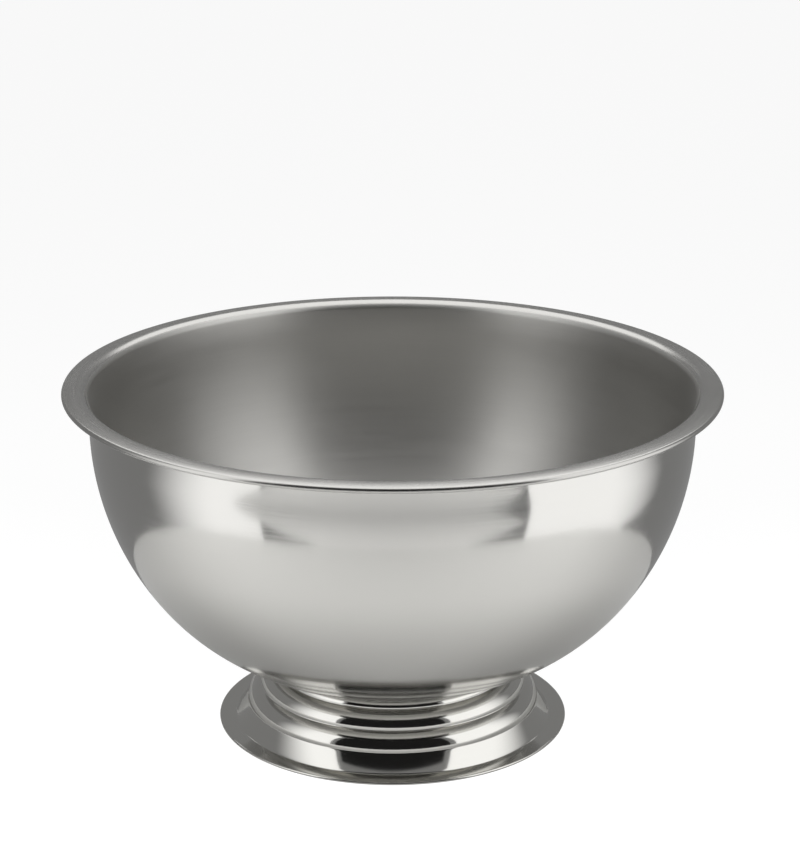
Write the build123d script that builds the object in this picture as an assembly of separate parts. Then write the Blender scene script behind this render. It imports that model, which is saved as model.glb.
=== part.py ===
from build123d import *
import math
import os

# Champagne bucket: a spun steel bowl with a hemmed flange, bolted through its centre to a spun,
# stepped foot. Millimetres, +Z up, origin on the table at the centre of the foot.

# Driving dimensions: bowl
rim_radius = 215.0  # outer edge of the flange
bucket_height = 234.9  # table to the crown of the flange
wall_radius = 197.8  # outside of the bowl where its wall stands upright
floor_height = 35.9  # table to the flat underside of the bowl
belly_radius = 185.1  # upper arc of the bowl's section
base_radius = 158.8  # lower arc of the bowl's section
arc_change = 53.2  # slope in degrees where one arc becomes the other
bowl_sheet = 1.0
flare_angle = 6.0  # lean of the wall under the flange
flange_fillet = 5.5  # bend under the flange, on the outside
flange_droop = 7.0  # slope of the flange at its edge

# Driving dimensions: foot
foot_radius = 117.0  # outer edge of the foot
foot_sheet = 0.8
top_ring_radius = 79.0
shoulder_radius = 5.0  # from the pan over to the top ring
ring_creases = [(89.0, 25.2), (97.6, 13.3)]  # radius and height of each further ring's lower crease
skirt_radius = 106.0  # where the skirt meets the foot's flange
skirt_hollow = 10.0  # turn of the slightly hollow skirt
foot_droop = 1.5  # slope of the foot's flange

# Hems, where a sheet's edge is folded back under itself: open at the rim, closed at the foot
rim_hem = 5.0
rim_hem_gap = 1.8
foot_hem = 6.0
foot_hem_gap = 0.3

# Driving dimensions: central M8 fixing
stud_radius = 4.0
stud_length = 20.0
stud_collar_radius = 5.0
stud_chamfer = 0.8
pan_hole_radius = 5.3
fastener_hole_radius = 4.25
saddle_radius = 30.0
saddle_thickness = 2.0
washer_radius = 12.0
washer_thickness = 2.0
spring_radius = 7.4
spring_thickness = 2.2
spring_gap = 1.4  # width of the split
spring_slant = 25.0  # slope of the split from upright
nut_flats = 13.0
nut_height = 6.5


def heading_vector(angle):
    return Vector(math.cos(math.radians(angle)), math.sin(math.radians(angle)))


def run(length):
    return {"length": length}


def bend(radius, turn):
    return {"radius": radius, "turn": turn}


def sheet_section(start, heading, moves, thickness):
    """Face of a bent sheet, in radius and height. One side follows the moves, a chain of straight
    runs and bends (positive turns go left), and the other lies thickness to its left."""
    here = Vector(*start)
    ends = [(here, here + heading_vector(heading + 90) * thickness)]
    traced, offset_side = [], []
    for move in moves:
        left = heading_vector(heading + 90)
        if "length" in move:
            there = here + heading_vector(heading) * move["length"]
            traced.append(Line(here, there))
            offset_side.append(Line(here + left * thickness, there + left * thickness))
        else:
            side = math.copysign(1, move["turn"])
            centre = here + left * side * move["radius"]
            begin = heading - 90 * side
            for edges, radius in (
                (traced, move["radius"]),
                (offset_side, move["radius"] - side * thickness),
            ):
                if radius > 0:
                    edges.append(CenterArc(centre, radius, begin, move["turn"]))
            there = centre + heading_vector(begin + move["turn"]) * move["radius"]
            heading += move["turn"]
        here = there
    ends.append((here, here + heading_vector(heading + 90) * thickness))
    caps = [Line(*pair) for pair in ends]
    return make_face(traced + offset_side + caps)


def spun(section):
    return revolve(Plane.XZ * section, Axis.Z)


def ring(outer, inner, bottom, top):
    """Flat ring about the Z axis between two heights."""
    lift = Pos(0, 0, bottom)
    height = top - bottom
    return lift * extrude(Circle(outer) - Circle(inner), height)


def sine(angle):
    return math.sin(math.radians(angle))


def cosine(angle):
    return math.cos(math.radians(angle))


# Flat middle of the bowl's floor, which the two arcs and the wall's radius leave over
flat_radius = wall_radius - belly_radius * (1 - sine(arc_change)) - base_radius * sine(arc_change)


def bowl():
    upright = floor_height + base_radius * (1 - cosine(arc_change)) + belly_radius * cosine(arc_change)
    fillet_rise = flange_fillet * (1 - cosine(90 - flare_angle))
    flare_rise = bucket_height - bowl_sheet - fillet_rise - upright
    flare_radius = flare_rise / sine(flare_angle)
    fillet_end = (
        wall_radius
        + flare_radius * (1 - cosine(flare_angle))
        + flange_fillet * sine(90 - flare_angle)
    )
    hem_bend = rim_hem_gap / 2
    flange_end = rim_radius - bowl_sheet - hem_bend * (1 - sine(flange_droop))
    flange_radius = (flange_end - fillet_end) / sine(flange_droop)
    moves = [
        run(flat_radius),
        bend(base_radius, arc_change),
        bend(belly_radius, 90 - arc_change),
        bend(flare_radius, -flare_angle),
        bend(flange_fillet, flare_angle - 90),
        bend(flange_radius, -flange_droop),
        bend(hem_bend, -180),
        run(rim_hem),
    ]
    return spun(sheet_section((0, floor_height), 0, moves, bowl_sheet))


def ring_moves(start, end):
    """Sharp crease, then one convex arc that ends upright at the next crease."""
    turn = 2 * math.degrees(math.atan2(end[0] - start[0], start[1] - end[1]))
    return [bend(0, turn), bend((start[1] - end[1]) / sine(turn), -turn)]


def foot():
    seat_angle = math.degrees(
        math.asin((top_ring_radius - flat_radius - shoulder_radius) / (base_radius + shoulder_radius))
    )
    seat_rise = base_radius * (1 - cosine(seat_angle))
    crease = (top_ring_radius, floor_height + seat_rise - shoulder_radius * cosine(seat_angle))
    moves = [
        run(flat_radius - pan_hole_radius),
        bend(base_radius, seat_angle),
        bend(shoulder_radius, -90 - seat_angle),
    ]
    for next_crease in ring_creases:
        moves += ring_moves(crease, next_crease)
        crease = next_crease

    hem_bend = foot_sheet + foot_hem_gap / 2
    flange_out = foot_radius - hem_bend * (1 - sine(foot_droop)) - skirt_radius
    flange_height = flange_out * math.tan(math.radians(foot_droop)) + hem_bend * (1 + cosine(foot_droop))
    skirt_out = skirt_radius - crease[0]
    skirt_drop = crease[1] - flange_height
    slope = math.degrees(math.atan2(skirt_drop, skirt_out))
    skirt_start = -slope - skirt_hollow / 2
    skirt_end = -slope + skirt_hollow / 2
    moves += [
        bend(0, 90 + skirt_start),
        bend(math.hypot(skirt_out, skirt_drop) / 2 / sine(skirt_hollow / 2), skirt_hollow),
        bend(0, -foot_droop - skirt_end),
        run(flange_out / cosine(foot_droop)),
        bend(hem_bend, foot_droop - 180),
        run(foot_hem),
    ]
    return spun(sheet_section((pan_hole_radius, floor_height), 0, moves, -foot_sheet))


def weld_stud():
    collar = Pos(0, 0, floor_height - foot_sheet) * extrude(Circle(stud_collar_radius), foot_sheet)
    shank = Pos(0, 0, floor_height - stud_length) * extrude(Circle(stud_radius), stud_length)
    tip = shank.edges().filter_by(GeomType.CIRCLE).sort_by(Axis.Z)[0]
    return chamfer(tip, stud_chamfer) + collar


def spring_washer(bottom):
    middle = (spring_radius + fastener_hole_radius) / 2
    split = Rot(spring_slant, 0, 0) * Box(spring_radius, spring_gap, 3 * spring_thickness)
    lift = bottom + spring_thickness / 2
    body = ring(spring_radius, fastener_hole_radius, bottom, bottom + spring_thickness)
    return body - Pos(middle, 0, lift) * split


def hex_nut(bottom):
    """Hexagon with its corners turned to a 30 degree cone at both ends."""
    prism = extrude(RegularPolygon(nut_flats / 2, 6, major_radius=False), nut_height)
    corner = nut_flats / 2 / cosine(30)
    slope_drop = (corner - nut_flats / 2) * math.tan(math.radians(30))
    outline = Polyline(
        (0, 0),
        (nut_flats / 2, 0),
        (corner, slope_drop),
        (corner, nut_height - slope_drop),
        (nut_flats / 2, nut_height),
        (0, nut_height),
        close=True,
    )
    bore = extrude(Circle(stud_radius), nut_height)
    return Pos(0, 0, bottom) * (prism & spun(make_face(outline)) - bore)


# The fixing stacks downwards from the underside of the foot's pan
saddle_top = floor_height - foot_sheet
washer_top = saddle_top - saddle_thickness
spring_top = washer_top - washer_thickness
nut_top = spring_top - spring_thickness

parts = {
    "bowl": bowl(),
    "foot": foot(),
    "weld_stud": weld_stud(),
    "saddle_disc": ring(saddle_radius, fastener_hole_radius, washer_top, saddle_top),
    "flat_washer": ring(washer_radius, fastener_hole_radius, spring_top, washer_top),
    "spring_washer": spring_washer(nut_top),
    "hex_nut": hex_nut(nut_top - nut_height),
}

os.makedirs("parts", exist_ok=True)
for name, solid in parts.items():
    export_step(solid, f"parts/{name}.step")
    size = solid.bounding_box().size
    print(f"{name}: {solid.volume:.0f} mm3, {size.X:.1f} x {size.Y:.1f} x {size.Z:.1f} mm")
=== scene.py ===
import math

import bmesh
import bpy
from mathutils import Matrix, Vector


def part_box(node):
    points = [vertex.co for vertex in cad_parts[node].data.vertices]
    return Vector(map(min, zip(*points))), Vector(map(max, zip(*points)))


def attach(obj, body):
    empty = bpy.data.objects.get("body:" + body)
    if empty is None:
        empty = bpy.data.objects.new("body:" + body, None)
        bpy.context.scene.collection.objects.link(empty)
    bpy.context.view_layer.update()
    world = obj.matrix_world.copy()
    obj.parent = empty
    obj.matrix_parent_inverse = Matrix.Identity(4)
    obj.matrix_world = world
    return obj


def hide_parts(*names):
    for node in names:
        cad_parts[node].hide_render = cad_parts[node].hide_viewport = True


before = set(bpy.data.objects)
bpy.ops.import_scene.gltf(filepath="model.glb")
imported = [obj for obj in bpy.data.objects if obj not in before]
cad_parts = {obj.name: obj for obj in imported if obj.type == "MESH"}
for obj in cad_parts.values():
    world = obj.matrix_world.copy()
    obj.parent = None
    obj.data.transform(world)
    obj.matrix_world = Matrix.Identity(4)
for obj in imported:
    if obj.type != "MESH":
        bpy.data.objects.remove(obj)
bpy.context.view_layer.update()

mm = 0.001
spinSteps = 288  # facets round the axis of every large spun piece
fixingSteps = 96  # and of the small turned ones
print("frame loaded:", ", ".join(sorted(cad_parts)))


def deselectAll():
    for thing in list(bpy.context.selected_objects):
        thing.select_set(False)


def makeActive(piece):
    deselectAll()
    piece.select_set(True)
    bpy.context.view_layer.objects.active = piece


def editOn(piece, selectMode="VERT"):
    makeActive(piece)
    bpy.ops.object.mode_set(mode="EDIT")
    bpy.ops.mesh.select_mode(type=selectMode)


def editOff():
    bpy.ops.object.mode_set(mode="OBJECT")


def selectWhere(piece, part, test):
    # selects the verts, edges or faces that pass the test, and nothing else
    bpy.ops.mesh.select_all(action="DESELECT")
    cage = bmesh.from_edit_mesh(piece.data)
    for element in getattr(cage, part):
        if test(element):
            element.select_set(True)
    cage.select_flush_mode()
    bmesh.update_edit_mesh(piece.data)


def applyModifier(piece, kind, **settings):
    makeActive(piece)
    modifier = piece.modifiers.new(kind.lower(), kind)
    for setting, value in settings.items():
        setattr(modifier, setting, value)
    bpy.ops.object.modifier_apply(modifier=modifier.name)


def sine(angle):
    return math.sin(math.radians(angle))


def cosine(angle):
    return math.cos(math.radians(angle))


def run(length):
    return {"length": length}


def bend(radius, turn):
    return {"radius": radius, "turn": turn}


def sectionRings(start, heading, moves, ringTurn=6.0, ringLength=3.5 * mm):
    # the rings, as radius and height, of a chain of straight runs and bends; positive turns go left
    radius, height = start
    rings = [start]
    for move in moves:
        if "length" in move:
            radius += move["length"] * cosine(heading)
            height += move["length"] * sine(heading)
            rings.append((radius, height))
            continue
        turn, size = move["turn"], move["radius"]
        if size > 0:
            side = math.copysign(1, turn)
            centreRadius = radius - side * size * sine(heading)
            centreHeight = height + side * size * cosine(heading)
            arc = size * math.radians(abs(turn))
            steps = max(2, math.ceil(max(abs(turn) / ringTurn, arc / ringLength)))
            for step in range(1, steps + 1):
                now = heading + turn * step / steps
                radius = centreRadius + side * size * sine(now)
                height = centreHeight - side * size * cosine(now)
                rings.append((radius, height))
        heading += turn
    return rings


def spinUp(name, rings, closed=False, steps=spinSteps):
    # a circle at the first ring, extruded and scaled from ring to ring as a sheet is spun over a former
    deselectAll()
    radius, height = rings[0]
    fill = "TRIFAN" if closed else "NOTHING"
    bpy.ops.mesh.primitive_circle_add(vertices=steps, radius=radius, fill_type=fill)
    piece = bpy.context.object
    piece.name = name
    piece.data.name = name
    editOn(piece)
    bpy.ops.mesh.select_all(action="SELECT")
    bpy.ops.transform.translate(value=(0, 0, height))
    selectWhere(piece, "verts", lambda vert: vert.co.xy.length > radius / 2)
    for nextRadius, nextHeight in rings[1:]:
        lift = {"value": (0, 0, nextHeight - height)}
        bpy.ops.mesh.extrude_region_move(TRANSFORM_OT_translate=lift)
        grow = nextRadius / radius
        bpy.ops.transform.resize(value=(grow, grow, 1), center_override=(0, 0, 0))
        radius, height = nextRadius, nextHeight
    editOff()
    return piece


def facesTurned(piece, upwards, within):
    # turns the whole sheet over if its faces inside that radius don't point the wanted way
    middle = [face.normal.z for face in piece.data.polygons if face.center.xy.length < within]
    if (sum(middle) > 0) != upwards:
        editOn(piece, "FACE")
        bpy.ops.mesh.select_all(action="SELECT")
        bpy.ops.mesh.flip_normals()
        editOff()


def roundCreases(piece, creases, width, segments):
    # bevels the edges that run round the axis at these radii and heights
    near = 0.01 * mm

    def onCrease(edge):
        ends = [(vert.co.xy.length, vert.co.z) for vert in edge.verts]
        return any(all(math.dist(end, crease) < near for end in ends) for crease in creases)

    editOn(piece, "EDGE")
    selectWhere(piece, "edges", onCrease)
    bpy.ops.mesh.bevel(offset=width, segments=segments, affect="EDGES")
    editOff()


def shadeSmooth(piece, angle):
    makeActive(piece)
    bpy.ops.object.shade_smooth_by_angle(angle=math.radians(angle))


def coat(piece, *materials):
    for material in materials:
        piece.data.materials.append(material)


def finishPiece(piece, node):
    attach(piece, "root")
    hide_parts(node)
    print(f"{piece.name}: {len(piece.data.polygons)} faces")
    return piece


def srgb(hexColour):
    # a screen colour, such as c8c8c5, as the linear colour that shaders mix
    levels = [int(hexColour[start : start + 2], 16) / 255 for start in (0, 2, 4)]
    return [(v / 12.92 if v <= 0.04045 else ((v + 0.055) / 1.055) ** 2.4) for v in levels] + [1.0]


def addNode(tree, kind, settings=None, links=None):
    # settings and links name a socket, or give its number where several share a name
    node = tree.nodes.new(kind)
    for key, value in (settings or {}).items():
        if isinstance(key, int) or key in node.inputs:
            node.inputs[key].default_value = value
        else:
            setattr(node, key, value)
    for key, source in (links or {}).items():
        tree.links.new(source, node.inputs[key])
    return node


def newMaterial(name):
    material = bpy.data.materials.new(name)
    material.use_nodes = True
    material.node_tree.nodes.clear()
    return material, material.node_tree


def turnedCoordinates(tree, lineSpacing, strokeLength):
    # stretches a pattern round the axis, as a finish worked on a lathe runs
    place = addNode(tree, "ShaderNodeTexCoord").outputs["Object"]
    axes = addNode(tree, "ShaderNodeSeparateXYZ", links={0: place})
    flat = addNode(tree, "ShaderNodeCombineXYZ", links={"X": axes.outputs["X"], "Y": axes.outputs["Y"]})
    flat = flat.outputs[0]
    radius = addNode(tree, "ShaderNodeVectorMath", {"operation": "LENGTH"}, {0: flat}).outputs["Value"]
    around = addNode(tree, "ShaderNodeVectorMath", {"operation": "NORMALIZE"}, {0: flat}).outputs[0]
    around = addNode(
        tree, "ShaderNodeVectorMath", {"operation": "SCALE", "Scale": 1 / strokeLength}, {0: around}
    ).outputs[0]
    along = addNode(tree, "ShaderNodeMath", {"operation": "ADD"}, {0: radius, 1: axes.outputs["Z"]})
    along = addNode(
        tree, "ShaderNodeMath", {"operation": "MULTIPLY", 1: 1 / lineSpacing}, {0: along.outputs[0]}
    ).outputs[0]
    lift = addNode(tree, "ShaderNodeCombineXYZ", links={"Z": along}).outputs[0]
    return addNode(tree, "ShaderNodeVectorMath", {"operation": "ADD"}, {0: around, 1: lift}).outputs[0]


smearShare = 0.3  # how much the smears count against the lines of the lathe


def turnedSteel(name, finish):
    # steel finished on a lathe: fine lines round the axis, faint broader bands, and soft smears
    material, tree = newMaterial(name)
    fineLines = addNode(
        tree,
        "ShaderNodeTexNoise",
        {"Scale": 1.0, "Detail": 5.0, "Roughness": 0.65},
        {"Vector": turnedCoordinates(tree, finish["lineSpacing"], finish["strokeLength"])},
    ).outputs["Fac"]
    bands = addNode(
        tree,
        "ShaderNodeTexNoise",
        {"Scale": 1.0, "Detail": 2.0},
        {"Vector": turnedCoordinates(tree, finish["bandSpacing"], finish["strokeLength"] * 4)},
    ).outputs["Fac"]
    place = addNode(tree, "ShaderNodeTexCoord").outputs["Object"]
    smears = addNode(
        tree,
        "ShaderNodeTexNoise",
        {"Scale": 1 / finish["smearSize"], "Detail": 4.0, "Roughness": 0.6},
        {"Vector": place},
    ).outputs["Fac"]
    worked = addNode(
        tree, "ShaderNodeMix", {"data_type": "FLOAT", 0: finish["bandShare"]}, {2: fineLines, 3: bands}
    ).outputs[0]
    mixed = addNode(
        tree, "ShaderNodeMix", {"data_type": "FLOAT", 0: smearShare}, {2: worked, 3: smears}
    ).outputs[0]
    roughness = addNode(
        tree,
        "ShaderNodeMapRange",
        {"From Min": 0.3, "From Max": 0.7, "To Min": finish["smooth"], "To Max": finish["rough"]},
        {"Value": mixed},
    ).outputs[0]
    colour = addNode(
        tree,
        "ShaderNodeMix",
        {"data_type": "RGBA", 6: srgb(finish["deepColour"]), 7: srgb(finish["colour"])},
        {0: mixed},
    ).outputs[2]
    bump = addNode(
        tree,
        "ShaderNodeBump",
        {"Strength": finish["bump"], "Distance": finish["lineDepth"]},
        {"Height": worked},
    ).outputs[0]
    tangent = addNode(tree, "ShaderNodeTangent", {"direction_type": "RADIAL", "axis": "Z"}).outputs[0]
    shader = addNode(
        tree,
        "ShaderNodeBsdfPrincipled",
        {"Metallic": 1.0, "Anisotropic": finish["stretch"], "Anisotropic Rotation": 0.25},
        {"Base Color": colour, "Roughness": roughness, "Normal": bump, "Tangent": tangent},
    )
    addNode(tree, "ShaderNodeOutputMaterial", links={"Surface": shader.outputs[0]})
    return material


# Stainless steel, spun over a former and buffed on the lathe: a bright, slightly soft reflection.
polishedOutside = turnedSteel(
    "spun polished stainless steel",
    {
        "colour": "cbcac7",
        "deepColour": "c3c2bf",
        "smooth": 0.04,
        "rough": 0.2,
        "stretch": 0.75,
        "lineSpacing": 0.4 * mm,
        "strokeLength": 0.6,
        "bandSpacing": 9 * mm,
        "bandShare": 0.15,
        "smearSize": 60 * mm,
        "bump": 0.05,
        "lineDepth": 0.02 * mm,
    },
)

# The same sheet worked round with a fibre pad: grey, and its reflections spread across the lines.
brushedInside = turnedSteel(
    "concentric brushed stainless steel",
    {
        "colour": "c4c3c0",
        "deepColour": "b2b1ae",
        "smooth": 0.36,
        "rough": 0.48,
        "stretch": 0.6,
        "lineSpacing": 0.7 * mm,
        "strokeLength": 0.25,
        "bandSpacing": 6 * mm,
        "bandShare": 0.35,
        "smearSize": 80 * mm,
        "bump": 0.25,
        "lineDepth": 0.03 * mm,
    },
)

# The flange is brushed flat with a finer pad, so it stays a plain satin grey.
satinFlange = turnedSteel(
    "satin stainless steel",
    {
        "colour": "c0bfbc",
        "deepColour": "b1b0ad",
        "smooth": 0.2,
        "rough": 0.3,
        "stretch": 0.4,
        "lineSpacing": 0.5 * mm,
        "strokeLength": 0.3,
        "bandSpacing": 3 * mm,
        "bandShare": 0.25,
        "smearSize": 50 * mm,
        "bump": 0.15,
        "lineDepth": 0.02 * mm,
    },
)

# The foot is buffed to a mirror, with the last faint rings of the buffing wheel.
mirrorFoot = turnedSteel(
    "mirror polished stainless steel",
    {
        "colour": "d0cfcb",
        "deepColour": "c8c7c3",
        "smooth": 0.04,
        "rough": 0.13,
        "stretch": 0.5,
        "lineSpacing": 0.8 * mm,
        "strokeLength": 0.8,
        "bandSpacing": 5 * mm,
        "bandShare": 0.5,
        "smearSize": 40 * mm,
        "bump": 0.08,
        "lineDepth": 0.03 * mm,
    },
)

# Nobody buffs the inside of a foot: it keeps the dull rings left by the spinning tool.
asSpunInside = turnedSteel(
    "as spun stainless steel",
    {
        "colour": "aaa9a6",
        "deepColour": "8f8e8b",
        "smooth": 0.32,
        "rough": 0.48,
        "stretch": 0.4,
        "lineSpacing": 1.6 * mm,
        "strokeLength": 0.5,
        "bandSpacing": 10 * mm,
        "bandShare": 0.4,
        "smearSize": 40 * mm,
        "bump": 0.5,
        "lineDepth": 0.06 * mm,
    },
)

# Cold-rolled blank, punched and left as it came: a dull grey with a faint leathery grain.
millDisc = turnedSteel(
    "mill finish steel",
    {
        "colour": "9d9c99",
        "deepColour": "84837f",
        "smooth": 0.38,
        "rough": 0.5,
        "stretch": 0.0,
        "lineSpacing": 2.5 * mm,
        "strokeLength": 0.02,
        "bandSpacing": 12 * mm,
        "bandShare": 0.5,
        "smearSize": 12 * mm,
        "bump": 0.3,
        "lineDepth": 0.03 * mm,
    },
)


# Zinc grows in crystals far finer than this; they are drawn this coarse so that a close view shows them.
plating = {
    "crystalSize": 0.6 * mm,
    "cloudSize": 4 * mm,
    "cloudShare": 0.6,
    "smoother": 0.06,
    "rougher": 0.08,
    "bump": 0.2,
    "depth": 0.02 * mm,
}


def platedSteel(name, colour, deepColour, roughness):
    # a slightly cloudy grey with fine crystals
    material, tree = newMaterial(name)
    place = addNode(tree, "ShaderNodeTexCoord").outputs["Object"]
    crystals = addNode(
        tree, "ShaderNodeTexVoronoi", {"Scale": 1 / plating["crystalSize"]}, {"Vector": place}
    ).outputs["Distance"]
    clouds = addNode(
        tree,
        "ShaderNodeTexNoise",
        {"Scale": 1 / plating["cloudSize"], "Detail": 4.0},
        {"Vector": place},
    ).outputs["Fac"]
    mixed = addNode(
        tree, "ShaderNodeMix", {"data_type": "FLOAT", 0: plating["cloudShare"]}, {2: crystals, 3: clouds}
    ).outputs[0]
    tint = addNode(
        tree, "ShaderNodeMix", {"data_type": "RGBA", 6: srgb(deepColour), 7: srgb(colour)}, {0: mixed}
    ).outputs[2]
    rough = addNode(
        tree,
        "ShaderNodeMapRange",
        {
            "From Min": 0.2,
            "From Max": 0.8,
            "To Min": roughness - plating["smoother"],
            "To Max": roughness + plating["rougher"],
        },
        {"Value": mixed},
    ).outputs[0]
    bump = addNode(
        tree,
        "ShaderNodeBump",
        {"Strength": plating["bump"], "Distance": plating["depth"]},
        {"Height": mixed},
    ).outputs[0]
    shader = addNode(
        tree,
        "ShaderNodeBsdfPrincipled",
        {"Metallic": 1.0},
        {"Base Color": tint, "Roughness": rough, "Normal": bump},
    )
    addNode(tree, "ShaderNodeOutputMaterial", links={"Surface": shader.outputs[0]})
    return material


# Zinc plating gives a cool grey, duller on the spring steel; a rolled thread is plain, smooth and warmer.
zincWasher = platedSteel("zinc plated steel", "c3c6c8", "a5a8aa", 0.28)
darkSpring = platedSteel("zinc plated spring steel", "9fa1a3", "7f8183", 0.34)
threadSteel = platedSteel("rolled stainless thread", "bdbcb9", "9c9b98", 0.24)
print("finishes mixed")


bowlLow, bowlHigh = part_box("bowl")
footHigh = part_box("foot")[1]

bowlSizes = {
    "rimRadius": bowlHigh.y,
    "rimHeight": bowlHigh.z,
    "floorHeight": bowlLow.z,
    "wallRadius": 197.8 * mm,
    "bellyRadius": 185.1 * mm,
    "baseRadius": 158.8 * mm,
    "arcChange": 53.2,
    "sheet": 1.0 * mm,
    "flare": 6.0,
    "flangeFillet": 5.5 * mm,
    "flangeDroop": 7.0,
    "hemGap": 1.8 * mm,
    "hemWidth": 5.0 * mm,
    "centreRadius": 3.0 * mm,  # first ring round the pole
    "shadeAngle": 50,
    # the satin starts this far outside the wall's radius, on faces no further than this below the rim
    "satinOut": 1.5 * mm,
    "satinDrop": 4 * mm,
}
flatRadius = (
    bowlSizes["wallRadius"]
    - bowlSizes["bellyRadius"] * (1 - sine(bowlSizes["arcChange"]))
    - bowlSizes["baseRadius"] * sine(bowlSizes["arcChange"])
)


def bowlMoves(size):
    upright = (
        size["floorHeight"]
        + size["baseRadius"] * (1 - cosine(size["arcChange"]))
        + size["bellyRadius"] * cosine(size["arcChange"])
    )
    lean = 90 - size["flare"]
    fillet = size["flangeFillet"]
    flareRise = size["rimHeight"] - size["sheet"] - fillet * (1 - cosine(lean)) - upright
    flareRadius = flareRise / sine(size["flare"])
    flareOut = flareRadius * (1 - cosine(size["flare"]))
    filletEnd = size["wallRadius"] + flareOut + fillet * sine(lean)
    hemBend = size["hemGap"] / 2
    flangeEnd = size["rimRadius"] - size["sheet"] - hemBend * (1 - sine(size["flangeDroop"]))
    return [
        run(flatRadius - size["centreRadius"]),
        bend(size["baseRadius"], size["arcChange"]),
        bend(size["bellyRadius"], 90 - size["arcChange"]),
        bend(flareRadius, -size["flare"]),
        bend(fillet, -lean),
        bend((flangeEnd - filletEnd) / sine(size["flangeDroop"]), -size["flangeDroop"]),
        bend(hemBend, -180),
        run(size["hemWidth"]),
    ]


def makeBowl(size):
    start = (size["centreRadius"], size["floorHeight"])
    rings = sectionRings(start, 0, bowlMoves(size))
    bowl = spinUp("bowl_shell", rings, closed=True)
    facesTurned(bowl, upwards=False, within=flatRadius)
    # all finishes go on before the wall, or its inner side could not take the second one
    coat(bowl, polishedOutside, brushedInside, satinFlange)
    applyModifier(
        bowl,
        "SOLIDIFY",
        thickness=size["sheet"],
        offset=-1,
        use_even_offset=True,
        material_offset=1,
        material_offset_rim=0,
    )
    shadeSmooth(bowl, size["shadeAngle"])
    return bowl


def paintFlange(bowl, size):
    # the flange's upper side takes the third finish, from the middle of its bend out to the hem
    inner = size["wallRadius"] + size["satinOut"]
    low = size["rimHeight"] - size["satinDrop"]
    for face in bowl.data.polygons:
        onTop = face.center.z > low and face.center.xy.length > inner
        if face.material_index == 1 and onTop:
            face.material_index = 2


bowlShell = makeBowl(bowlSizes)
finishPiece(bowlShell, "bowl")
paintFlange(bowlShell, bowlSizes)


footSizes = {
    "radius": footHigh.x,
    "sheet": 0.8 * mm,
    "holeRadius": 5.3 * mm,
    "topRing": 79.0 * mm,
    "shoulder": 5.0 * mm,
    "ringCreases": [(89.0 * mm, 25.2 * mm), (97.6 * mm, 13.3 * mm)],
    "skirtRadius": 106.0 * mm,
    "skirtHollow": 10.0,
    "droop": 1.5,
    "hemGap": 0.3 * mm,
    "hemWidth": 6.0 * mm,
    "creaseWidth": 0.35 * mm,
    "creaseSegments": 4,
    "ringTurn": 4.0,  # degrees of bend from one ring to the next, at most
    "ringLength": 1.6 * mm,
    "shadeAngle": 60,
}


def footRings(size):
    # the foot's upper side, from the hole in its pan out to the hem, and the creases along it
    reach = bowlSizes["baseRadius"] + size["shoulder"]
    seat = math.degrees(math.asin((size["topRing"] - flatRadius - size["shoulder"]) / reach))
    seatRise = bowlSizes["baseRadius"] * (1 - cosine(seat))
    crease = (size["topRing"], bowlSizes["floorHeight"] + seatRise - size["shoulder"] * cosine(seat))
    creases = [crease]
    moves = [
        run(flatRadius - size["holeRadius"]),
        bend(bowlSizes["baseRadius"], seat),
        bend(size["shoulder"], -90 - seat),
    ]
    for nextCrease in size["ringCreases"]:
        out, drop = nextCrease[0] - crease[0], crease[1] - nextCrease[1]
        turn = 2 * math.degrees(math.atan2(out, drop))
        moves += [bend(0, turn), bend(drop / sine(turn), -turn)]
        crease = nextCrease
        creases.append(crease)
    hemBend = size["sheet"] + size["hemGap"] / 2
    flangeOut = size["radius"] - hemBend * (1 - sine(size["droop"])) - size["skirtRadius"]
    flangeHeight = flangeOut * math.tan(math.radians(size["droop"])) + hemBend * (1 + cosine(size["droop"]))
    creases.append((size["skirtRadius"], flangeHeight))
    out, drop = size["skirtRadius"] - crease[0], crease[1] - flangeHeight
    slope = math.degrees(math.atan2(drop, out))
    skirtStart = -slope - size["skirtHollow"] / 2
    skirtEnd = -slope + size["skirtHollow"] / 2
    moves += [
        bend(0, 90 + skirtStart),
        bend(math.hypot(out, drop) / 2 / sine(size["skirtHollow"] / 2), size["skirtHollow"]),
        bend(0, -size["droop"] - skirtEnd),
        run(flangeOut / cosine(size["droop"])),
        bend(hemBend, size["droop"] - 180),
        run(size["hemWidth"]),
    ]
    start = (size["holeRadius"], bowlSizes["floorHeight"])
    return sectionRings(start, 0, moves, size["ringTurn"], size["ringLength"]), creases


def makeFoot(size):
    rings, creases = footRings(size)
    foot = spinUp("foot_shell", rings)
    facesTurned(foot, upwards=True, within=flatRadius)
    coat(foot, mirrorFoot, asSpunInside)
    roundCreases(foot, creases, size["creaseWidth"], size["creaseSegments"])
    applyModifier(
        foot,
        "SOLIDIFY",
        thickness=size["sheet"],
        offset=-1,
        use_even_offset=True,
        material_offset=1,
        material_offset_rim=0,
    )
    shadeSmooth(foot, size["shadeAngle"])
    return foot


finishPiece(makeFoot(footSizes), "foot")


fixingSizes = {
    "holeRadius": 4.25 * mm,
    "shadeAngle": 40,
    "discRounding": 0.35 * mm,
    "discSteps": 160,
    "washerRounding": 0.25 * mm,
    "springRounding": 0.2 * mm,
    "splitWidth": 1.4 * mm,
    "splitSlant": 25,
    "splitTall": 7 * mm,
}
tiny = 0.001 * mm  # two points closer than this are one


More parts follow.
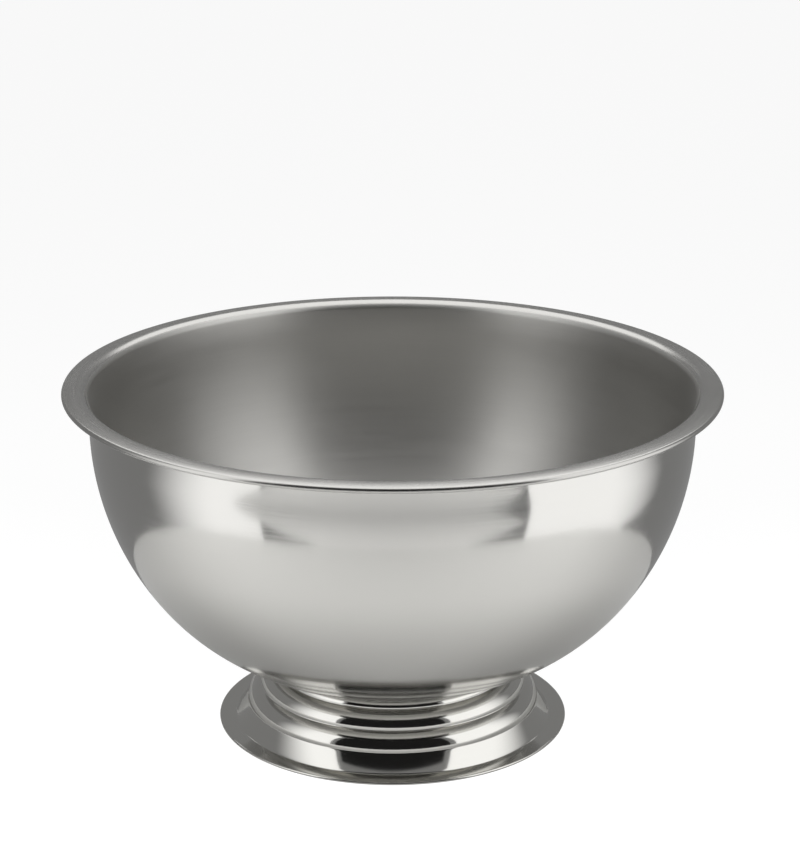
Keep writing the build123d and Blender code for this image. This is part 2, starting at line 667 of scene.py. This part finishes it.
def turnedRing(name, low, high, outer, rounding, steps=fixingSteps):
    # a flat ring with rounded edges: its section's rings, closed on themselves
    inner = fixingSizes["holeRadius"]
    rings = [(inner, high), (outer, high), (outer, low), (inner, low)]
    piece = spinUp(name, rings, steps=steps)
    editOn(piece, "EDGE")
    selectWhere(piece, "edges", lambda edge: edge.is_boundary)
    bpy.ops.mesh.bridge_edge_loops()
    bpy.ops.mesh.select_all(action="SELECT")
    bpy.ops.mesh.normals_make_consistent(inside=False)
    selectWhere(
        piece,
        "edges",
        lambda edge: abs(edge.verts[0].co.z - edge.verts[1].co.z) < tiny
        and abs(edge.verts[0].co.xy.length - edge.verts[1].co.xy.length) < tiny,
    )
    bpy.ops.mesh.bevel(offset=rounding, segments=3, affect="EDGES")
    editOff()
    shadeSmooth(piece, fixingSizes["shadeAngle"])
    return piece


def makeSaddleDisc():
    low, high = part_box("saddle_disc")
    rounding, steps = fixingSizes["discRounding"], fixingSizes["discSteps"]
    disc = turnedRing("saddle_disc_plate", low.z, high.z, high.x, rounding, steps=steps)
    coat(disc, millDisc)
    return finishPiece(disc, "saddle_disc")


def makeFlatWasher():
    low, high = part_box("flat_washer")
    washer = turnedRing("flat_washer_ring", low.z, high.z, high.x, fixingSizes["washerRounding"])
    coat(washer, zincWasher)
    return finishPiece(washer, "flat_washer")


def makeSpringWasher():
    low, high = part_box("spring_washer")
    size = fixingSizes
    washer = turnedRing("spring_washer_ring", low.z, high.z, high.y, size["springRounding"])
    deselectAll()
    bpy.ops.mesh.primitive_cube_add(size=1)
    split = bpy.context.object
    editOn(split)
    bpy.ops.mesh.select_all(action="SELECT")
    bpy.ops.transform.resize(value=(high.y, size["splitWidth"], size["splitTall"]))
    turn = math.radians(size["splitSlant"])
    bpy.ops.transform.rotate(value=turn, orient_axis="X", center_override=(0, 0, 0))
    bpy.ops.transform.translate(value=((high.y + size["holeRadius"]) / 2, 0, (low.z + high.z) / 2))
    editOff()
    cutWith(washer, split, "DIFFERENCE")
    shadeSmooth(washer, size["shadeAngle"])
    coat(washer, darkSpring)
    return finishPiece(washer, "spring_washer")


def turnedSolid(name, rings, steps=fixingSteps):
    # a solid of revolution: the first and last rings are closed by flat ends
    piece = spinUp(name, rings, steps=steps)
    editOn(piece, "EDGE")
    selectWhere(piece, "edges", lambda edge: edge.is_boundary)
    bpy.ops.mesh.edge_face_add()
    bpy.ops.mesh.select_all(action="SELECT")
    bpy.ops.mesh.normals_make_consistent(inside=False)
    editOff()
    return piece


def cutWith(piece, tool, operation):
    applyModifier(piece, "BOOLEAN", operation=operation, object=tool, solver="EXACT")
    bpy.data.objects.remove(tool)


def makeWeldStud():
    low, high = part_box("weld_stud")
    studSizes = {
        "crest": 4.0 * mm,
        "root": 3.32 * mm,
        "pitch": 1.25 * mm,  # M8 coarse
        "chamfer": 0.8 * mm,
        "collarThick": 0.8 * mm,
        "threadTop": 33.0 * mm,
        "shadeAngle": 30,
        "steps": 64,  # facets in one turn of the thread
    }
    crest, root, pitch = studSizes["crest"], studSizes["root"], studSizes["pitch"]
    # one turn of thread: root flat, flank, crest flat, flank
    turn = [(root, 0), (root, 0.25), (crest, 0.69), (crest, 0.81)]
    start = low.z - 2 * pitch
    deselectAll()
    bpy.ops.mesh.primitive_plane_add(size=1)
    shank = bpy.context.object
    shank.name = "weld_stud_threaded"
    shank.data.name = shank.name
    editOn(shank)
    bpy.ops.mesh.merge(type="CENTER")
    bpy.ops.transform.translate(value=(root, 0, start))
    for (fromRadius, fromHeight), (toRadius, toHeight) in zip(turn, turn[1:] + [(root, 1.0)]):
        step = (toRadius - fromRadius, 0, (toHeight - fromHeight) * pitch)
        bpy.ops.mesh.extrude_region_move(TRANSFORM_OT_translate={"value": step})
    editOff()
    turns = math.ceil((high.z - start) / pitch) + 1
    applyModifier(
        shank,
        "SCREW",
        angle=math.tau,
        screw_offset=pitch,
        iterations=turns,
        steps=studSizes["steps"],
        render_steps=studSizes["steps"],
        use_merge_vertices=True,
        merge_threshold=tiny,
    )
    editOn(shank, "FACE")
    bpy.ops.mesh.select_all(action="SELECT")
    bpy.ops.mesh.remove_doubles(threshold=tiny)
    bpy.ops.mesh.bisect(plane_co=(0, 0, low.z), plane_no=(0, 0, 1), use_fill=True, clear_inner=True)
    bpy.ops.mesh.select_all(action="SELECT")
    top = studSizes["threadTop"]
    bpy.ops.mesh.bisect(plane_co=(0, 0, top), plane_no=(0, 0, 1), use_fill=True, clear_outer=True)
    bpy.ops.mesh.select_all(action="SELECT")
    bpy.ops.mesh.normals_make_consistent(inside=False)
    editOff()
    chamfer = studSizes["chamfer"]
    envelope = turnedSolid(
        "tip", [(crest - chamfer, low.z - tiny), (crest, low.z + chamfer), (crest, top + mm)]
    )
    cutWith(shank, envelope, "INTERSECT")
    seat = high.z - studSizes["collarThick"]
    collar = turnedSolid(
        "collar", [(crest, top - 0.5 * mm), (crest, seat), (high.x, seat), (high.x, high.z)]
    )
    cutWith(shank, collar, "UNION")
    shadeSmooth(shank, studSizes["shadeAngle"])
    coat(shank, threadSteel)
    return finishPiece(shank, "weld_stud")


def makeHexNut():
    low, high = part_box("hex_nut")
    nutSizes = {
        "flats": 13.0 * mm,
        "bore": 4.0 * mm,
        "boreChamfer": 0.45 * mm,
        "rounding": 0.12 * mm,
        "shadeAngle": 35,
    }
    half = nutSizes["flats"] / 2
    corner = half / cosine(30)
    drop = (corner - half) * math.tan(math.radians(30))
    deselectAll()
    middle = (0, 0, (low.z + high.z) / 2)
    height = high.z - low.z
    turn = (0, 0, math.radians(30) if high.x < high.y else 0)
    bpy.ops.mesh.primitive_cylinder_add(
        vertices=6, radius=corner, depth=height, location=middle, rotation=turn
    )
    nut = bpy.context.object
    nut.name = "hex_nut_chamfered"
    nut.data.name = nut.name
    bpy.ops.object.transform_apply(location=True, rotation=True, scale=True)
    cone = turnedSolid(
        "cone",
        [(half, low.z), (corner, low.z + drop), (corner, high.z - drop), (half, high.z)],
    )
    cutWith(nut, cone, "INTERSECT")
    bore, mouth = nutSizes["bore"], nutSizes["boreChamfer"]
    over = 0.5 * mm
    drill = turnedSolid(
        "drill",
        [
            (bore + mouth + over, low.z - over),
            (bore, low.z + mouth),
            (bore, high.z - mouth),
            (bore + mouth + over, high.z + over),
        ],
    )
    cutWith(nut, drill, "DIFFERENCE")
    applyModifier(
        nut,
        "BEVEL",
        width=nutSizes["rounding"],
        segments=2,
        limit_method="ANGLE",
        angle_limit=math.radians(nutSizes["shadeAngle"]),
    )
    shadeSmooth(nut, nutSizes["shadeAngle"])
    coat(nut, zincWasher)
    return finishPiece(nut, "hex_nut")


makeWeldStud()
makeSaddleDisc()
makeFlatWasher()
makeSpringWasher()
makeHexNut()


def glowMaterial(name, glow, edgeGlow, fullTo, fadeTo):
    # a lit cloth that is even out to fullTo along its own X, then fades to its edge
    material, tree = newMaterial(name)
    place = addNode(tree, "ShaderNodeTexCoord").outputs["Object"]
    across = addNode(tree, "ShaderNodeSeparateXYZ", links={0: place}).outputs["X"]
    fade = {"interpolation_type": "SMOOTHSTEP", "From Min": fullTo, "From Max": fadeTo}
    fade.update({"To Min": glow, "To Max": edgeGlow})
    strength = addNode(tree, "ShaderNodeMapRange", fade, {"Value": across}).outputs[0]
    shader = addNode(tree, "ShaderNodeEmission", links={"Strength": strength})
    addNode(tree, "ShaderNodeOutputMaterial", links={"Surface": shader.outputs[0]})
    return material


def paperMaterial(name, colour, glow=0.0):
    # matt paper, which can be lit from behind
    material, tree = newMaterial(name)
    settings = {"Base Color": srgb(colour), "Roughness": 0.9, "Specular IOR Level": 0.0}
    settings.update({"Emission Color": [1, 1, 1, 1], "Emission Strength": glow})
    shader = addNode(tree, "ShaderNodeBsdfPrincipled", settings)
    addNode(tree, "ShaderNodeOutputMaterial", links={"Surface": shader.outputs[0]})
    return material


def paperWithPaintedShade(name, colour, paintedShadeColour, near, far):
    # paper with painted shade under the bowl: it darkens towards the axis, from the far radius in to the
    # near one
    material = paperMaterial(name, colour)
    tree = material.node_tree
    place = addNode(tree, "ShaderNodeTexCoord").outputs["Object"]
    out = addNode(tree, "ShaderNodeVectorMath", {"operation": "LENGTH"}, {0: place}).outputs["Value"]
    paintedShadeShare = addNode(
        tree,
        "ShaderNodeMapRange",
        {"interpolation_type": "SMOOTHSTEP", "From Min": near, "From Max": far},
        {"Value": out},
    ).outputs[0]
    # painted shade: the shade colour near the axis gives way to the paper's own colour further out
    paintedShadeMix = addNode(
        tree, "ShaderNodeMix", {"data_type": "RGBA", 6: srgb(paintedShadeColour), 7: srgb(colour)}, {0: paintedShadeShare}
    ).outputs[2]
    tree.links.new(paintedShadeMix, tree.nodes["Principled BSDF"].inputs["Base Color"])
    return material


def setStage(board, material, seenBy):
    # seenBy says which rays meet the board: most only show in the steel
    board.data.materials.append(material)
    for rays in ("camera", "diffuse", "glossy", "shadow", "transmission"):
        setattr(board, "visible_" + rays, rays in seenBy)


def addSheet(name, centre, halfSize, material, seenBy, sides):
    # a round or four-sided sheet lying level, with its place in its mesh
    deselectAll()
    square = sides == 4
    turn = math.radians(45) if square else 0
    bpy.ops.mesh.primitive_circle_add(
        vertices=sides, radius=math.sqrt(2) if square else 1, fill_type="NGON"
    )
    sheet = bpy.context.object
    sheet.name = name
    stretch = Matrix.Diagonal((*halfSize, 1, 1))
    sheet.data.transform(Matrix.Translation(centre) @ stretch @ Matrix.Rotation(turn, 4, "Z"))
    setStage(sheet, material, seenBy)


def addCard(name, centre, heights, reach, material):
    # an upright card that faces the axis; reach is how far it goes to the left and right of centre
    deselectAll()
    bpy.ops.mesh.primitive_plane_add(size=2)
    card = bpy.context.object
    card.name = name
    low, high = heights
    left, right = reach
    for vert in card.data.vertices:
        across = right if vert.co.x > 0 else -left
        up = high if vert.co.y > 0 else low
        vert.co = (across, up, 0)
    card.rotation_euler = Vector((-centre[0], -centre[1], 0)).to_track_quat("Z", "Y").to_euler()
    card.location = (centre[0], centre[1], 0)
    setStage(card, material, ("glossy",))


lightToPower = 4.0  # watts per square metre that give an area lamp one unit of radiance


def addLamp(name, centre, width, height, brightness):
    # a soft light that only the paper sees; brightness is the radiance of its face
    light = bpy.data.lights.new(name, "AREA")
    light.shape = "RECTANGLE"
    light.size = width
    light.size_y = height
    light.energy = lightToPower * brightness * width * height
    lamp = bpy.data.objects.new(name, light)
    lamp.location = centre
    lamp.rotation_euler = (-Vector(centre)).to_track_quat("-Z", "Y").to_euler()
    lamp.visible_camera = False
    lamp.visible_glossy = False
    bpy.context.scene.collection.objects.link(lamp)


studioSizes = {
    "lampDistance": 0.62,
    "lampTurn": 56,  # degrees round from the camera, to either side
    "lampWidth": 0.4,
    "lampHeights": (0.4, 0.7),  # bottom and top edges
    "lampGlow": 9.2,
    "clothDistance": 1.0,
    "clothTurn": 66,
    "clothHeights": (-0.4, 1.6),
    "clothGlow": 1.5,
    # degrees round from the camera where each cloth starts, begins to fade and has faded
    "clothTurns": {"left": (46, 62, 98), "right": (47, 80, 116)},
    "topGlow": 1.6,
    "topTurn": 71,  # degrees up from the back
    "topDistance": 1.7,
    "topSize": 2.3,
    "wallGrey": 0.27,
    "floorReach": 8,
    "floorGlow": 0.88,
    "tablePlace": (0, -0.14, 0.2 * mm),
    "tableReach": (0.45, 0.35),
    "tablePaintedShade": (0.12, 0.3),  # radii where the painted shade on its paper is darkest and where it has faded back to white
    "frontPlace": (-0.12, -1.3, -0.03),
    "frontReach": (0.6, 0.8),
    "frontGlow": 0.2,
    "darkPlace": (0, -2.2),
    "darkHeights": (-0.1, 3.0),
    "darkReach": (2.1, 2.1),
    "darkGlow": 0.015,
    "roundSides": 96,
}


def addCloth(name, side, size, turns):
    # X on the cloth is its distance from the point that faces the axis
    def across(turn):
        return -side * size["clothDistance"] * math.tan(math.radians(turn - size["clothTurn"]))

    start, full, faded = [across(turn) for turn in turns]
    cloth = glowMaterial("lit cloth " + name, size["clothGlow"], size["wallGrey"], full, faded)
    out = side * size["clothDistance"] * sine(size["clothTurn"])
    forward = size["clothDistance"] * cosine(size["clothTurn"])
    reach = (-min(start, faded), max(start, faded))
    addCard("cloth_" + name, (out, -forward), size["clothHeights"], reach, cloth)


def setStudio(size):
    world = bpy.data.worlds.new("studio walls")
    world.use_nodes = True
    world.node_tree.nodes["Background"].inputs[0].default_value = (1, 1, 1, 1)
    world.node_tree.nodes["Background"].inputs[1].default_value = size["wallGrey"]
    bpy.context.scene.world = world

    # the camera sees the floor only; the steel sees the table, the front sheet and the cards instead
    floorPaper = paperMaterial("pale floor paper", "808080", size["floorGlow"])
    floorReach = (size["floorReach"], size["floorReach"])
    sides = size["roundSides"]
    addSheet("pale_floor", (0, 0, 0), floorReach, floorPaper, ("camera", "transmission"), sides)
    # the table paper carries painted shade, b4b4b3 at its darkest, towards the bowl's foot
    tablePaper = paperWithPaintedShade("table paper with painted shade", "e2e2e1", "b4b4b3", *size["tablePaintedShade"])
    addSheet("round_table", size["tablePlace"], size["tableReach"], tablePaper, ("glossy",), sides)
    frontPaper = paperMaterial("white front paper", "e2e2e1", size["frontGlow"])
    addSheet("front_sheet", size["frontPlace"], size["frontReach"], frontPaper, ("glossy",), 4)

    black = paperMaterial("black velvet card", "020202", size["darkGlow"])
    addCard("dark_camera_side", size["darkPlace"], size["darkHeights"], size["darkReach"], black)
    out = size["lampDistance"] * sine(size["lampTurn"])
    forward = size["lampDistance"] * cosine(size["lampTurn"])
    low, high = size["lampHeights"]
    for side, name in ((-1, "left"), (1, "right")):
        middle = (side * out, -forward, (low + high) / 2)
        addLamp("lamp_" + name, middle, size["lampWidth"], high - low, size["lampGlow"])
        addCloth(name, side, size, size["clothTurns"][name])

    # the ceiling cloth is even all over
    top = glowMaterial("lit ceiling cloth", size["topGlow"], size["topGlow"], 2, 3)
    deselectAll()
    back = size["topDistance"] * cosine(size["topTurn"])
    up = size["topDistance"] * sine(size["topTurn"])
    place = (0, back, up)
    tilt = (math.radians(size["topTurn"] - 90), 0, 0)
    bpy.ops.mesh.primitive_plane_add(size=size["topSize"], location=place, rotation=tilt)
    ceiling = bpy.context.object
    ceiling.name = "ceiling_cloth"
    setStage(ceiling, top, ("glossy",))
    bpy.context.scene.view_settings.view_transform = "Standard"


def setCamera():
    cameraSizes = {
        "distance": 1.634,
        "height": 0.7267,
        "pitch": 17.74,
        "lens": 110.7,
        "sensor": 36,
        "shift": 0.0087,
    }
    camera = bpy.data.objects.new("camera", bpy.data.cameras.new("camera"))
    camera.location = (0, -cameraSizes["distance"], cameraSizes["height"])
    camera.rotation_euler = (math.radians(90 - cameraSizes["pitch"]), 0, 0)
    camera.data.lens = cameraSizes["lens"]
    camera.data.sensor_width = cameraSizes["sensor"]
    camera.data.shift_x = cameraSizes["shift"]
    bpy.context.scene.collection.objects.link(camera)
    bpy.context.scene.camera = camera


setStudio(studioSizes)
setCamera()
print("studio set")
